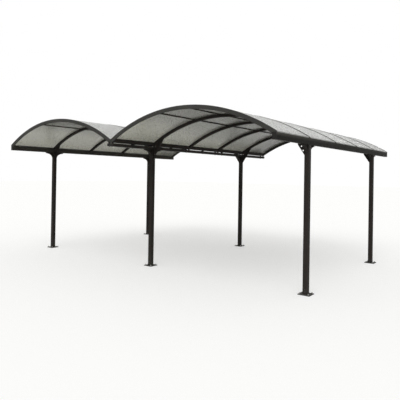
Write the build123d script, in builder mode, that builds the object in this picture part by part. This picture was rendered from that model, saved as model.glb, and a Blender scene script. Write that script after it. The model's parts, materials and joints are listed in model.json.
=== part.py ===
from build123d import *
import math
import os

# A double carport: two barrel vaults side by side on three rows of two posts.
# X runs across the vaults, Y from the front to the rear, Z up from the ground.

# Overall sizes, in millimetres
row_spacing = 3000
roof_length = 5000
headroom = 2100
arch_rise = 437
bay_count = 5

# Fits and angles
fit_clearance = 0.3
quarter_turn = 90

# Posts: square hollow section with a shallow groove down each face
post_width = 72
post_wall = 2.5
post_corner = 4
post_groove_width = 14
post_groove_depth = 1

# Foot plates: square plate with a stub that stands inside the post
foot_width = 180
foot_thickness = 8
foot_corner = 12
foot_hole_spacing = 130
foot_hole_diameter = 14
stub_wall = 4
foot_stub_height = 150

# Post heads: cross plate, stub, two curved wings and straight knee plates
head_plate = 6
head_arm_width = 40
head_stub_height = 80
wing_reach = 210
wing_drop = 105
wing_tip = 14
wing_web = 10
wing_sole = 6
knee_drop = 165
knee_width = 112
knee_thickness = 8
knee_hole_diameter = 22
knee_hole_height_shares = (0.51, 0.885)
knee_hole_width_share = 0.6
ear_lean_shares = {"left": 0.3, "middle": 0.68, "right": 0.3}

# Eave beams: lower and upper chambers and an open gutter channel outside
beam_width = 60
beam_height = 92
beam_wall = 3
beam_lower_chamber = 42
beam_channel_width = 20
beam_groove_height = 6
beam_groove_depth = 1.5
beam_corner = 2.5

# Valley: a wide gutter over a flat rail, held apart by spacers
valley_width = 140
valley_gap = 10
rail_height = 46
spacer_height = 20
gutter_height = 58
gutter_lip = 10
valley_wall = 3
rib_spacer_width = 24
rib_spacer_length = 30
rib_spacer_offset = 35
bay_spacer_width = 40
bay_spacer_length = 30
bay_spacer_shares = (0.1, 0.3, 0.5, 0.64)

# End caps
cap_thickness = 3
gutter_cap_height = 38

# Arches: a tube below the sheets and, on the ribs, a fin between them
arch_wall = 3
rib_width = 46
rib_height = 44
fin_width = 6
end_arch_width = 20
end_arch_height = 48
end_slot_depth = 8
arch_overrun_angle = 3

# Cover strips: clamp the edges of the sheets down over each rib
cover_strip_width = 34
cover_strip_height = 3
cover_strip_chamfer = 1

# Purlins: small tubes between the arches, at a third and two thirds of the arc
purlin_width = 18
purlin_height = 14
purlin_wall = 2
purlin_angle_share = 1 / 3

# Roof sheets
sheet_thickness = 6
sheet_slot_clearance = 0.7
sheet_side_clearance = 2
sheet_eave_setback = 8
sheet_valley_setback = 20

# Places worked out from the sizes above
row_places = {"left": -row_spacing, "middle": 0, "right": row_spacing}
vault_sides = {"left": -1, "right": 1}
bay_length = roof_length / bay_count
rib_places = [bay * bay_length - roof_length / 2 for bay in range(1, bay_count)]
end_arch_place = (roof_length - end_arch_width) / 2
arch_places = [-end_arch_place, *rib_places, end_arch_place]
post_places = {"front": rib_places[0], "rear": rib_places[-1]}

post_inside = post_width - 2 * post_wall
stub_width = post_inside - 2 * fit_clearance
post_top = headroom - head_plate

beam_top = headroom + beam_height
rail_top = headroom + rail_height
gutter_base = rail_top + spacer_height
gutter_top = gutter_base + gutter_height

# Each vault is part of a cylinder whose radius is the underside of its sheets
springing = beam_top + arch_wall
vault_outside = row_spacing + beam_width / 2
half_span = (vault_outside - valley_gap / 2) / 2
vault_centre = valley_gap / 2 + half_span
seat_radius = (half_span**2 + arch_rise**2) / (2 * arch_rise)
axis_height = springing + arch_rise - seat_radius
half_angle = math.degrees(math.asin(half_span / seat_radius))
slot_height = fit_clearance + sheet_thickness + sheet_slot_clearance
eave_edge_angle = math.degrees(math.asin((half_span - sheet_eave_setback) / seat_radius))
valley_edge_angle = math.degrees(math.asin((half_span - sheet_valley_setback) / seat_radius))
first_edge_angles = {-1: eave_edge_angle, 1: valley_edge_angle}
above_roof = springing + 2 * arch_rise


def save(piece, name):
    """Label a finished piece and write it to its own file."""
    piece.part.label = name
    export_step(piece.part, f"parts/{name}.step")


def vault_axis(side):
    """Centre line of one vault's cylinder."""
    return Axis((side * vault_centre, 0, axis_height), (0, 1, 0))


def section_plane(side, angle):
    """Plane through a vault's centre line, leaning from upright by an angle."""
    lean = math.radians(angle)
    return Plane(
        origin=(side * vault_centre, 0, axis_height),
        x_dir=(0, 1, 0),
        z_dir=(math.cos(lean), 0, -math.sin(lean)),
    )


def make_post(x, y):
    """Hollow post from the foot plate to the head's cross plate."""
    with BuildPart() as post:
        with BuildSketch(Plane((x, y, foot_thickness))):
            RectangleRounded(post_width, post_width, post_corner)
            with PolarLocations(post_width / 2, 4):
                Rectangle(2 * post_groove_depth, post_groove_width, mode=Mode.SUBTRACT)
            Rectangle(post_inside, post_inside, mode=Mode.SUBTRACT)
        extrude(amount=post_top - foot_thickness)
    return post


def make_foot(x, y):
    """Foot plate with four anchor holes and a square stub."""
    with BuildPart() as foot:
        with BuildSketch(Plane((x, y, 0))):
            RectangleRounded(foot_width, foot_width, foot_corner)
            with GridLocations(foot_hole_spacing, foot_hole_spacing, 2, 2):
                Circle(foot_hole_diameter / 2, mode=Mode.SUBTRACT)
        extrude(amount=foot_thickness)
        with BuildSketch(Plane((x, y, foot_thickness))):
            Rectangle(stub_width, stub_width)
            Rectangle(stub_width - 2 * stub_wall, stub_width - 2 * stub_wall, mode=Mode.SUBTRACT)
        extrude(amount=foot_stub_height)
    return foot


def knee_sketch(x, y, side, inward, carried_width, ear_lean_share):
    """Outline of a knee plate: from the post, past the beam, with an ear up to the rib."""
    face = post_width / 2 + fit_clearance
    cheek = carried_width / 2 + fit_clearance
    low = headroom - knee_drop
    reach = face + knee_width
    ear_reach = reach + ear_lean_share * (above_roof - headroom)
    with BuildSketch(Plane.XZ.offset(-y)) as knee:
        with BuildLine():
            Polyline(
                (x + inward * face, low),
                (x + inward * reach, headroom),
                (x + inward * ear_reach, above_roof),
                (x + inward * cheek, above_roof),
                (x + inward * cheek, headroom),
                (x + inward * face, headroom),
                close=True,
            )
        make_face()
        with Locations((side * vault_centre, axis_height)):
            Circle(seat_radius - rib_height - fit_clearance, mode=Mode.INTERSECT)
        for share in knee_hole_height_shares:
            across = face + knee_hole_width_share * share * knee_width
            with Locations((x + inward * across, low + share * knee_drop)):
                Circle(knee_hole_diameter / 2, mode=Mode.SUBTRACT)
    return knee.sketch


def wing_sketch(x, y, sole_only):
    """Outline of the two hollowed wings, or of the curved soles below their webs."""
    face = post_width / 2 + fit_clearance
    heel = face + wing_tip
    hollow_reach = wing_reach - heel
    hollow_drop = wing_drop - wing_tip
    hollow_centre = (wing_reach, -wing_drop)
    with BuildSketch(Plane((x, y, post_top), x_dir=(0, 1, 0), z_dir=(1, 0, 0))) as wings:
        with BuildLine():
            Polyline(
                (heel, -wing_drop),
                (face, -wing_drop),
                (face, 0),
                (wing_reach, 0),
                (wing_reach, -wing_tip),
            )
            EllipticalCenterArc(
                hollow_centre,
                hollow_reach,
                hollow_drop,
                start_angle=quarter_turn,
                arc_size=quarter_turn,
            )
        make_face()
        if sole_only:
            with Locations(hollow_centre):
                Ellipse(hollow_reach + wing_sole, hollow_drop + wing_sole, mode=Mode.INTERSECT)
        mirror(about=Plane.YZ)
    return wings.sketch


def make_head(x, y, knees, carried_width, ear_lean_share):
    """Post head. Each knee is the side of its vault and the way it points."""
    with BuildPart() as head:
        with BuildSketch(Plane((x, y, post_top))):
            Rectangle(post_width, post_width)
            Rectangle(head_arm_width, 2 * wing_reach)
            for side, inward in knees:
                with Locations((inward * knee_width / 2, 0)):
                    Rectangle(knee_width, head_arm_width)
        extrude(amount=head_plate)
        with BuildSketch(Plane((x, y, post_top))):
            Rectangle(stub_width, stub_width)
            Rectangle(stub_width - 2 * stub_wall, stub_width - 2 * stub_wall, mode=Mode.SUBTRACT)
        extrude(amount=-head_stub_height)
        extrude(wing_sketch(x, y, sole_only=False), amount=wing_web / 2, both=True)
        extrude(wing_sketch(x, y, sole_only=True), amount=head_arm_width / 2, both=True)
        for side, inward in knees:
            outline = knee_sketch(x, y, side, inward, carried_width, ear_lean_share)
            extrude(outline, amount=knee_thickness / 2, both=True)
    return head


def make_eave_beam(side):
    """Hollow eave beam with an open gutter channel along its outer edge."""
    middle = side * row_spacing
    chamber_width = beam_width - 2 * beam_wall
    upper_width = chamber_width - beam_channel_width - beam_wall
    upper_base = headroom + 2 * beam_wall + beam_lower_chamber
    upper_height = beam_top - beam_wall - upper_base
    channel_height = beam_top - upper_base
    with BuildPart() as beam:
        with BuildSketch(Plane.XZ) as profile:
            with Locations((middle, headroom)):
                Rectangle(beam_width, beam_height, align=(Align.CENTER, Align.MIN))
            fillet(profile.vertices().group_by(Axis.Y)[0], beam_corner)
            with Locations((middle, headroom + beam_wall)):
                Rectangle(
                    chamber_width,
                    beam_lower_chamber,
                    align=(Align.CENTER, Align.MIN),
                    mode=Mode.SUBTRACT,
                )
            with Locations((middle - side * (chamber_width - upper_width) / 2, upper_base)):
                Rectangle(
                    upper_width, upper_height, align=(Align.CENTER, Align.MIN), mode=Mode.SUBTRACT
                )
            with Locations((middle + side * (chamber_width - beam_channel_width) / 2, upper_base)):
                Rectangle(
                    beam_channel_width,
                    channel_height,
                    align=(Align.CENTER, Align.MIN),
                    mode=Mode.SUBTRACT,
                )
            with Locations((middle, upper_base - beam_wall / 2)):
                with GridLocations(beam_width, 0, 2, 1):
                    Rectangle(2 * beam_groove_depth, beam_groove_height, mode=Mode.SUBTRACT)
        extrude(amount=roof_length / 2 - cap_thickness, both=True)
    return beam


def make_valley_gutter():
    """Wide open gutter between the vaults, with lips that carry the ribs."""
    length = roof_length - 2 * (end_arch_width + cap_thickness)
    with BuildPart() as gutter:
        with BuildSketch(Plane.XZ):
            with Locations((0, gutter_base)):
                Rectangle(valley_width, gutter_height, align=(Align.CENTER, Align.MIN))
            with Locations((0, gutter_base + valley_wall)):
                Rectangle(
                    valley_width - 2 * valley_wall,
                    gutter_height - 2 * valley_wall,
                    align=(Align.CENTER, Align.MIN),
                    mode=Mode.SUBTRACT,
                )
                Rectangle(
                    valley_width - 2 * gutter_lip,
                    gutter_height,
                    align=(Align.CENTER, Align.MIN),
                    mode=Mode.SUBTRACT,
                )
        extrude(amount=length / 2, both=True)
    return gutter


def make_valley_rail():
    """Flat hollow rail on the heads of the middle posts."""
    with BuildPart() as rail:
        with BuildSketch(Plane.XZ):
            with Locations((0, headroom + rail_height / 2)):
                Rectangle(valley_width, rail_height)
                Rectangle(
                    valley_width - 2 * valley_wall, rail_height - 2 * valley_wall, mode=Mode.SUBTRACT
                )
        extrude(amount=roof_length / 2 - cap_thickness, both=True)
    return rail


def make_valley_spacers():
    """Blocks between the rail and the gutter: a pair at each arch and single ones between."""
    end_place = roof_length / 2 - cap_thickness - rib_spacer_length / 2
    with BuildPart() as spacers:
        with BuildSketch(Plane.XY.offset(rail_top)):
            for place in (-end_place, *rib_places, end_place):
                with Locations((-rib_spacer_offset, place), (rib_spacer_offset, place)):
                    Rectangle(rib_spacer_width, rib_spacer_length)
            for share in bay_spacer_shares:
                with Locations((0, share * roof_length - roof_length / 2)):
                    Rectangle(bay_spacer_width, bay_spacer_length)
        extrude(amount=spacer_height)
    return spacers


def make_end_caps():
    """Flat caps on the ends of the eave beams, the valley rail and the gutter."""
    outer_place = roof_length / 2
    gutter_place = outer_place - end_arch_width
    with BuildPart() as caps:
        for end in (-1, 1):
            with BuildSketch(Plane.XZ.offset(end * outer_place)):
                with Locations((-row_spacing, headroom), (row_spacing, headroom)):
                    Rectangle(beam_width, beam_height, align=(Align.CENTER, Align.MIN))
                with Locations((0, headroom)):
                    Rectangle(valley_width, rail_height, align=(Align.CENTER, Align.MIN))
            extrude(amount=-end * cap_thickness)
            with BuildSketch(Plane.XZ.offset(end * gutter_place)):
                with Locations((0, gutter_base)):
                    Rectangle(valley_width, gutter_cap_height, align=(Align.CENTER, Align.MIN))
            extrude(amount=-end * cap_thickness)
    return caps


def feet_cut(side, valley_seat, valley_toe):
    """Space that the beam and the gutter take from an arch's two feet."""
    eave_cheek = side * (row_spacing - beam_width / 2 - fit_clearance)
    valley_cheek = side * (valley_width / 2 + fit_clearance)
    outside = side * vault_outside
    beyond = 2 * outside
    inside = side * valley_toe
    with BuildSketch(Plane.XZ) as cut:
        with BuildLine():
            Polyline(
                (eave_cheek, 0),
                (eave_cheek, beam_top),
                (outside, beam_top),
                (outside, above_roof),
                (beyond, above_roof),
                (beyond, 0),
                close=True,
            )
        make_face()
        with BuildLine():
            Polyline(
                (valley_cheek, 0),
                (valley_cheek, valley_seat),
                (inside, valley_seat),
                (inside, above_roof),
                (-outside, above_roof),
                (-outside, 0),
                close=True,
            )
        make_face()
    return cut.sketch


def make_rib(side, place):
    """Arched bar: a tube under the sheets and a fin that stands between them."""
    sweep = half_angle + arch_overrun_angle
    fin_height = slot_height - fit_clearance
    lip_edge = valley_width / 2 - gutter_lip
    with BuildPart() as rib:
        with BuildSketch(section_plane(side, -sweep)):
            with Locations((place, seat_radius - rib_height / 2)):
                Rectangle(rib_width, rib_height)
                Rectangle(rib_width - 2 * arch_wall, rib_height - 2 * arch_wall, mode=Mode.SUBTRACT)
            with Locations((place, seat_radius)):
                Rectangle(fin_width, fin_height, align=(Align.CENTER, Align.MIN))
        revolve(axis=vault_axis(side), revolution_arc=2 * sweep)
        cut = feet_cut(side, gutter_top, lip_edge)
        extrude(cut, amount=roof_length, both=True, mode=Mode.SUBTRACT)
    return rib


def make_cover_strips(side):
    """Four curved strips on the fins, over the edges of the sheets."""
    first_angle = first_edge_angles[side]
    with BuildPart() as strips:
        for place in rib_places:
            with BuildSketch(section_plane(side, -first_angle)) as section:
                with Locations((place, seat_radius + slot_height)):
                    Rectangle(
                        cover_strip_width, cover_strip_height, align=(Align.CENTER, Align.MIN)
                    )
                chamfer(section.vertices().group_by(Axis.Y)[-1], cover_strip_chamfer)
            revolve(axis=vault_axis(side), revolution_arc=eave_edge_angle + valley_edge_angle)
    return strips


def make_end_arch(side, place):
    """Front or rear arch: a deeper tube with a slot for the edge of the sheet."""
    sweep = half_angle + arch_overrun_angle
    inward = -math.copysign(1, place)
    tube_width = end_arch_width - 2 * arch_wall
    crown_radius = seat_radius + slot_height + cover_strip_height
    with BuildPart() as arch:
        with BuildSketch(section_plane(side, -sweep)):
            with Locations((place, seat_radius - end_arch_height)):
                Rectangle(
                    end_arch_width,
                    crown_radius - seat_radius + end_arch_height,
                    align=(Align.CENTER, Align.MIN),
                )
            with Locations((place, seat_radius - end_arch_height / 2)):
                Rectangle(tube_width, end_arch_height - 2 * arch_wall, mode=Mode.SUBTRACT)
            slot_middle = place + inward * (end_arch_width - end_slot_depth) / 2
            with Locations((slot_middle, seat_radius + slot_height / 2)):
                Rectangle(end_slot_depth, slot_height, mode=Mode.SUBTRACT)
        revolve(axis=vault_axis(side), revolution_arc=2 * sweep)
        cut = feet_cut(side, gutter_base, valley_gap / 2)
        extrude(cut, amount=roof_length, both=True, mode=Mode.SUBTRACT)
    return arch


def make_purlins(side):
    """Two lines of small tubes under the sheets, in lengths between the arches."""
    half_widths = [end_arch_width / 2] + [rib_width / 2] * len(rib_places) + [end_arch_width / 2]
    middle_radius = seat_radius - purlin_height / 2
    with BuildPart() as purlins:
        for bay in range(bay_count):
            start = arch_places[bay] + half_widths[bay] + fit_clearance
            stop = arch_places[bay + 1] - half_widths[bay + 1] - fit_clearance
            with BuildSketch(Plane.XZ.offset(-start)):
                for turn in (-1, 1):
                    angle = turn * purlin_angle_share * half_angle
                    across = side * vault_centre + middle_radius * math.sin(math.radians(angle))
                    height = axis_height + middle_radius * math.cos(math.radians(angle))
                    with Locations(Location((across, height), -angle)):
                        Rectangle(purlin_width, purlin_height)
                        Rectangle(
                            purlin_width - 2 * purlin_wall,
                            purlin_height - 2 * purlin_wall,
                            mode=Mode.SUBTRACT,
                        )
            extrude(amount=start - stop)
    return purlins


def make_sheet(side, bay):
    """One curved roof sheet, with its edges in the slots of two arches."""
    rib_edge = fin_width / 2 + sheet_side_clearance
    end_edge = end_arch_width / 2 - end_slot_depth + sheet_side_clearance
    start = arch_places[bay] + (end_edge if bay == 0 else rib_edge)
    stop = arch_places[bay + 1] - (end_edge if bay == bay_count - 1 else rib_edge)
    with BuildPart() as sheet:
        with BuildSketch(section_plane(side, -first_edge_angles[side])):
            with Locations(((start + stop) / 2, seat_radius + fit_clearance)):
                Rectangle(stop - start, sheet_thickness, align=(Align.CENTER, Align.MIN))
        revolve(axis=vault_axis(side), revolution_arc=eave_edge_angle + valley_edge_angle)
    return sheet


os.makedirs("parts", exist_ok=True)

for row, x in row_places.items():
    if row == "middle":
        knees = [(-1, -1), (1, 1)]
        carried_width = valley_width
    else:
        side = vault_sides[row]
        knees = [(side, -side)]
        carried_width = beam_width
    for end, y in post_places.items():
        save(make_post(x, y), f"{row}_{end}_post")
        save(make_foot(x, y), f"{row}_{end}_foot")
        head = make_head(x, y, knees, carried_width, ear_lean_shares[row])
        save(head, f"{row}_{end}_post_head")

for row, side in vault_sides.items():
    save(make_eave_beam(side), f"{row}_eave_beam")
    save(make_end_arch(side, -end_arch_place), f"{row}_front_arch")
    save(make_end_arch(side, end_arch_place), f"{row}_rear_arch")
    for number, place in enumerate(rib_places, start=1):
        save(make_rib(side, place), f"{row}_rib_{number}")
    save(make_cover_strips(side), f"{row}_cover_strips")
    save(make_purlins(side), f"{row}_purlins")
    for bay in range(bay_count):
        save(make_sheet(side, bay), f"{row}_roof_sheet_{bay + 1}")

save(make_valley_gutter(), "valley_gutter")
save(make_valley_rail(), "valley_rail")
save(make_valley_spacers(), "valley_spacers")
save(make_end_caps(), "end_caps")
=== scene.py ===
import json
import math

import bpy
from bpy.props import FloatProperty, FloatVectorProperty, IntProperty, PointerProperty
from mathutils import Matrix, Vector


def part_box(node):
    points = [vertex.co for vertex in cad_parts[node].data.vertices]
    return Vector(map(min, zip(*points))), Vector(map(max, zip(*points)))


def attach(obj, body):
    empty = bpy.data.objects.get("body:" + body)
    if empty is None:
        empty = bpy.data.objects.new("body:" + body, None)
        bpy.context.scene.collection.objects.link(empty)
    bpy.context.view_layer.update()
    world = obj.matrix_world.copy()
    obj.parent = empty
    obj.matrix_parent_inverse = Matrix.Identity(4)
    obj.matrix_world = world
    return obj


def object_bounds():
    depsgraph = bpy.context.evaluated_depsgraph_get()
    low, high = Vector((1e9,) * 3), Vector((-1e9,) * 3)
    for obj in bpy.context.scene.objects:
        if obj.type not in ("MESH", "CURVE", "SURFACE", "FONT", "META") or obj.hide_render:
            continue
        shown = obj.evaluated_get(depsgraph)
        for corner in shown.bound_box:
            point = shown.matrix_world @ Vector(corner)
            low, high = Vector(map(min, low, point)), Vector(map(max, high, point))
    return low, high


bl_info = {
    "name": "Double Vaulted Carport",
    "version": (1, 0, 0),
    "blender": (4, 5, 0),
    "location": "View3D > Sidebar > Carport",
    "description": "Coats, roof sheets, fasteners, seals and stage of a double vaulted carport",
    "category": "Object",
}

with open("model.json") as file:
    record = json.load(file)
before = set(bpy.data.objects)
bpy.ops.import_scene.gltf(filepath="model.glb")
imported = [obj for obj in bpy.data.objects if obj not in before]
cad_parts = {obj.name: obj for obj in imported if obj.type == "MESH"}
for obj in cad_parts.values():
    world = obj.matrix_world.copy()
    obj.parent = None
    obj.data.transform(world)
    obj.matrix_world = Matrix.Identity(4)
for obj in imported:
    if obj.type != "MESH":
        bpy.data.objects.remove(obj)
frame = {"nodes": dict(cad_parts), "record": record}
cad_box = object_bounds()

# Names and sides of the frame's pieces
ROWS = ("left", "middle", "right")
ENDS = ("front", "rear")
POSTS = tuple((row, end) for row in ROWS for end in ENDS)
CORNERS = ((-1, -1), (-1, 1), (1, -1), (1, 1))
VAULTS = {"left": -1, "right": 1}
ARCHES = ("front_arch", "rib_1", "rib_2", "rib_3", "rib_4", "rear_arch")
RIBS = ARCHES[1:-1]
OPEN_KNEE = ("right", "front")
ANCHORS = next(row for row in frame["record"]["mounts"] if row["kind"] == "bolt_pattern")

# Units, tolerances and turns
MM = 0.001
NEAR = 1e-5
FACES_STRAIGHT = 0.9
SMOOTH_ANGLE = math.radians(35)
SEAL_SMOOTH_ANGLE = math.radians(60)
QUARTER_TURN = math.pi / 2
UPSIDE_DOWN = Matrix.Rotation(math.pi, 4, "X")

# Places on the frame, as shares of what carries the piece
BAY_SPACER_SHARES = (0.1, 0.3, 0.5, 0.64)
KNEE_HOLE_SHARES = (0.51, 0.885)
KNEE_HOLE_WIDTH_SHARE = 0.6
HEAD_BOLT_REACH_SHARE = 0.62

# Anchors, as shares of the stud's diameter, and the turns of their nuts
WASHER_SHARES = {"radius": 1.05, "depth": 0.2, "bevel": 0.05}
NUT_SHARES = {"radius": 0.9, "depth": 0.85, "bevel": 0.12}
STUD_SHARES = {"radius": 0.5, "depth": 0.75, "bevel": 0.08}
NUT_TURN_ACROSS = 0.4
NUT_TURN_ALONG = 0.9

# Flange screws: the flange's diameter and the head's width over its flats
POST_SCREW = (0.0125, 0.008)
HEAD_BOLT = (0.014, 0.010)
RAIL_BOLT = (0.018, 0.012)

# Depths and bevels of the flange screws, and their places on the posts and heads
FLANGE_DEPTH_SHARE = 0.14
FLANGE_BEVEL_SHARE = 0.6
HEAD_DEPTH_SHARE = 0.62
HEAD_BEVEL_SHARE = 0.1
FOOT_SCREW_HEIGHTS = (0.030, 0.062)
HEAD_SCREW_DROPS = (0.022, 0.054)
HEAD_BOLT_OFFSET = 0.0125

# Knee plugs
PLUG_PLAY = 0.0003
PLUG_EDGE = 0.0004
PLUG_CAP_LIP = 0.0025
PLUG_CAP_DEPTH = 0.0026
PLUG_CAP_BEVEL = 0.0012
PLUG_DISH_RIM = 0.004
PLUG_DISH_DEPTH = 0.0012

# Strip screws
STRIP_WASHER = {"radius": 0.0065, "depth": 0.0012, "bevel": 0.0005}
STRIP_HEAD = {"radius": 0.0045, "depth": 0.0030, "bevel": 0.0018}

# Ridge purlins, strip seals and edge trims
RIDGE_RIM_SHARE = 1 / 4
RIDGE_BEVEL_SHARE = 1 / 12
SEAL_STEPS = 40
TRIM_PLAY = 0.001
TRIM_BEVEL_SHARE = 0.4
LIP_WALLS = 2

# Sides of round and hexagonal parts
HEXAGON = 6
SEAL_SIDES = 8
STRIP_HEAD_SIDES = 10
SMALL_ROUND_SIDES = 14
FLANGE_SIDES = 20
ROUND_SIDES = 24

# Numbers of the colour sockets of a mix node
MIX_COLOUR_INPUTS = (6, 7)
MIX_COLOUR_OUTPUT = 2

# Floor, key light and sensor
FLOOR_SIZE = 160
FLOOR_DROP = 0.001
SUN_PLACE = (4, -8, 9)
SUN_SPREAD = math.radians(45)
SUN_TILT = math.radians(42)
SUN_TURN = math.radians(24)
SENSOR_WIDTH = 36


class CarportSizes(bpy.types.PropertyGroup):
    """Sizes of what is fitted to the frame, and of the arcs that it follows."""

    arch_rise: FloatProperty(
        name="Arch rise",
        description="Rise of the sheets' underside from the springing to the crown",
        default=0.437,
        unit="LENGTH",
    )
    sheet_thickness: FloatProperty(
        name="Sheet thickness",
        description="Thickness of a roof sheet",
        default=0.006,
        unit="LENGTH",
    )
    sheet_seat: FloatProperty(
        name="Sheet seat",
        description="Gap between an arch and the sheet that lies on it",
        default=0.0003,
        unit="LENGTH",
    )
    strip_gap: FloatProperty(
        name="Strip gap",
        description="Gap between a sheet and the cover strip over it",
        default=0.0007,
        unit="LENGTH",
    )
    strip_height: FloatProperty(
        name="Strip height",
        description="Height of a cover strip",
        default=0.003,
        unit="LENGTH",
    )
    strip_width: FloatProperty(
        name="Strip width",
        description="Width of a cover strip",
        default=0.034,
        unit="LENGTH",
    )
    strip_screws: IntProperty(
        name="Strip screws",
        description="Number of screws along one cover strip",
        default=9,
        min=2,
    )
    bead_radius: FloatProperty(
        name="Seal bead",
        description="Radius of the rubber bead along each edge of a cover strip",
        default=0.0012,
        unit="LENGTH",
    )
    trim_depth: FloatProperty(
        name="Edge trim depth",
        description="Depth of the channel that closes the edge of a sheet",
        default=0.016,
        unit="LENGTH",
    )
    trim_wall: FloatProperty(
        name="Edge trim wall",
        description="Wall of the channel that closes the edge of a sheet",
        default=0.0012,
        unit="LENGTH",
    )
    drip_drop: FloatProperty(
        name="Drip drop",
        description="Drop of the lip that hangs from an eave trim into the gutter",
        default=0.008,
        unit="LENGTH",
    )
    anchor_diameter: FloatProperty(
        name="Anchor diameter",
        description="Diameter of the ground anchors' studs",
        default=0.012,
        unit="LENGTH",
    )
    post_groove: FloatProperty(
        name="Post groove",
        description="Depth of the groove down each face of a post",
        default=0.001,
        unit="LENGTH",
    )
    knee_width: FloatProperty(
        name="Knee width",
        description="Width of a knee plate from the post to its upper corner",
        default=0.112,
        unit="LENGTH",
    )
    knee_thickness: FloatProperty(
        name="Knee thickness",
        description="Thickness of a knee plate",
        default=0.008,
        unit="LENGTH",
    )
    knee_hole: FloatProperty(
        name="Knee hole",
        description="Diameter of the holes in a knee plate",
        default=0.022,
        unit="LENGTH",
    )
    knee_clearance: FloatProperty(
        name="Knee clearance",
        description="Gap between a post and the knee plate beside it",
        default=0.0003,
        unit="LENGTH",
    )
    ridge_width: FloatProperty(
        name="Ridge width",
        description="Width of the purlin under the crown of a vault",
        default=0.018,
        unit="LENGTH",
    )
    ridge_height: FloatProperty(
        name="Ridge height",
        description="Height of the purlin under the crown of a vault",
        default=0.014,
        unit="LENGTH",
    )
    ridge_groove: FloatProperty(
        name="Ridge groove",
        description="Depth of the groove under a ridge purlin",
        default=0.0015,
        unit="LENGTH",
    )
    ridge_clearance: FloatProperty(
        name="Ridge clearance",
        description="Gap between a ridge purlin and the arch at its end",
        default=0.0003,
        unit="LENGTH",
    )
    spacer_offset: FloatProperty(
        name="Spacer offset",
        description="Distance of the paired valley spacers from the middle line",
        default=0.035,
        unit="LENGTH",
    )
    spacer_length: FloatProperty(
        name="Spacer length",
        description="Length of a valley spacer along the valley",
        default=0.030,
        unit="LENGTH",
    )


class CarportColours(bpy.types.PropertyGroup):
    """Colours of the coats, the sheets and the small parts."""

    coat: FloatVectorProperty(
        name="Frame coat",
        description="Dark bronze powder coat of the posts, beams and ribs",
        default=(0.0320, 0.0280, 0.0255),
        subtype="COLOR",
        size=3,
    )
    arch_coat: FloatVectorProperty(
        name="End arch coat",
        description="Paler coat of the front and rear arches",
        default=(0.058, 0.057, 0.053),
        subtype="COLOR",
        size=3,
    )
    # The two eave colours are painted light and shade: the inner one is lighter to offset shade on the
    # inner faces, the outer one darker to offset the sun on the outer faces.
    eave_inner_painted_light: FloatVectorProperty(
        name="Eave coat inside",
        description="Coat of the eave beams, dusty on the inner side",
        default=(0.052, 0.048, 0.043),
        subtype="COLOR",
        size=3,
    )
    eave_outer_painted_shade: FloatVectorProperty(
        name="Eave coat outside",
        description="Coat of the eave beams on the outer side",
        default=(0.0120, 0.0114, 0.0102),
        subtype="COLOR",
        size=3,
    )
    foot_coat: FloatVectorProperty(
        name="Foot coat",
        description="Weathered coat of the foot plates",
        default=(0.074, 0.072, 0.067),
        subtype="COLOR",
        size=3,
    )
    # This colour is also the painted highlight along the upper edge of the outer eave faces.
    dust_and_highlight: FloatVectorProperty(
        name="Dust",
        description="Dust that settles on the coats",
        default=(0.085, 0.080, 0.072),
        subtype="COLOR",
        size=3,
    )
    sheet: FloatVectorProperty(
        name="Roof sheet",
        description="Smoky tint of the roof sheets",
        default=(0.40, 0.395, 0.345),
        subtype="COLOR",
        size=3,
    )
    silt: FloatVectorProperty(
        name="Silt",
        description="Pale silt that rain leaves on the roof sheets",
        default=(0.50, 0.49, 0.44),
        subtype="COLOR",
        size=3,
    )
    # The film_and_sheen colour is partly a pale dirt layer and partly a painted sky reflection on the
    # upper side of the sheets.
    film_and_sheen: FloatVectorProperty(
        name="Film",
        description="Pale film on the upper side of the roof sheets",
        default=(0.82, 0.84, 0.82),
        subtype="COLOR",
        size=3,
    )
    trim: FloatVectorProperty(
        name="Eave trims",
        description="Pale grey trims along the eave edges of the roof sheets",
        default=(0.46, 0.47, 0.455),
        subtype="COLOR",
        size=3,
    )
    cap: FloatVectorProperty(
        name="Caps",
        description="Moulded end caps and knee plugs",
        default=(0.022, 0.021, 0.020),
        subtype="COLOR",
        size=3,
    )
    screw: FloatVectorProperty(
        name="Post screws",
        description="Worn coat of the screws in the posts",
        default=(0.115, 0.112, 0.105),
        subtype="COLOR",
        size=3,
    )
    rubber: FloatVectorProperty(
        name="Rubber",
        description="Rubber beads along the cover strips",
        default=(0.012, 0.012, 0.012),
        subtype="COLOR",
        size=3,
    )
    steel: FloatVectorProperty(
        name="Zinc plate",
        description="Zinc-plated anchors",
        default=(0.32, 0.32, 0.31),
        subtype="COLOR",
        size=3,
    )


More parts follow.
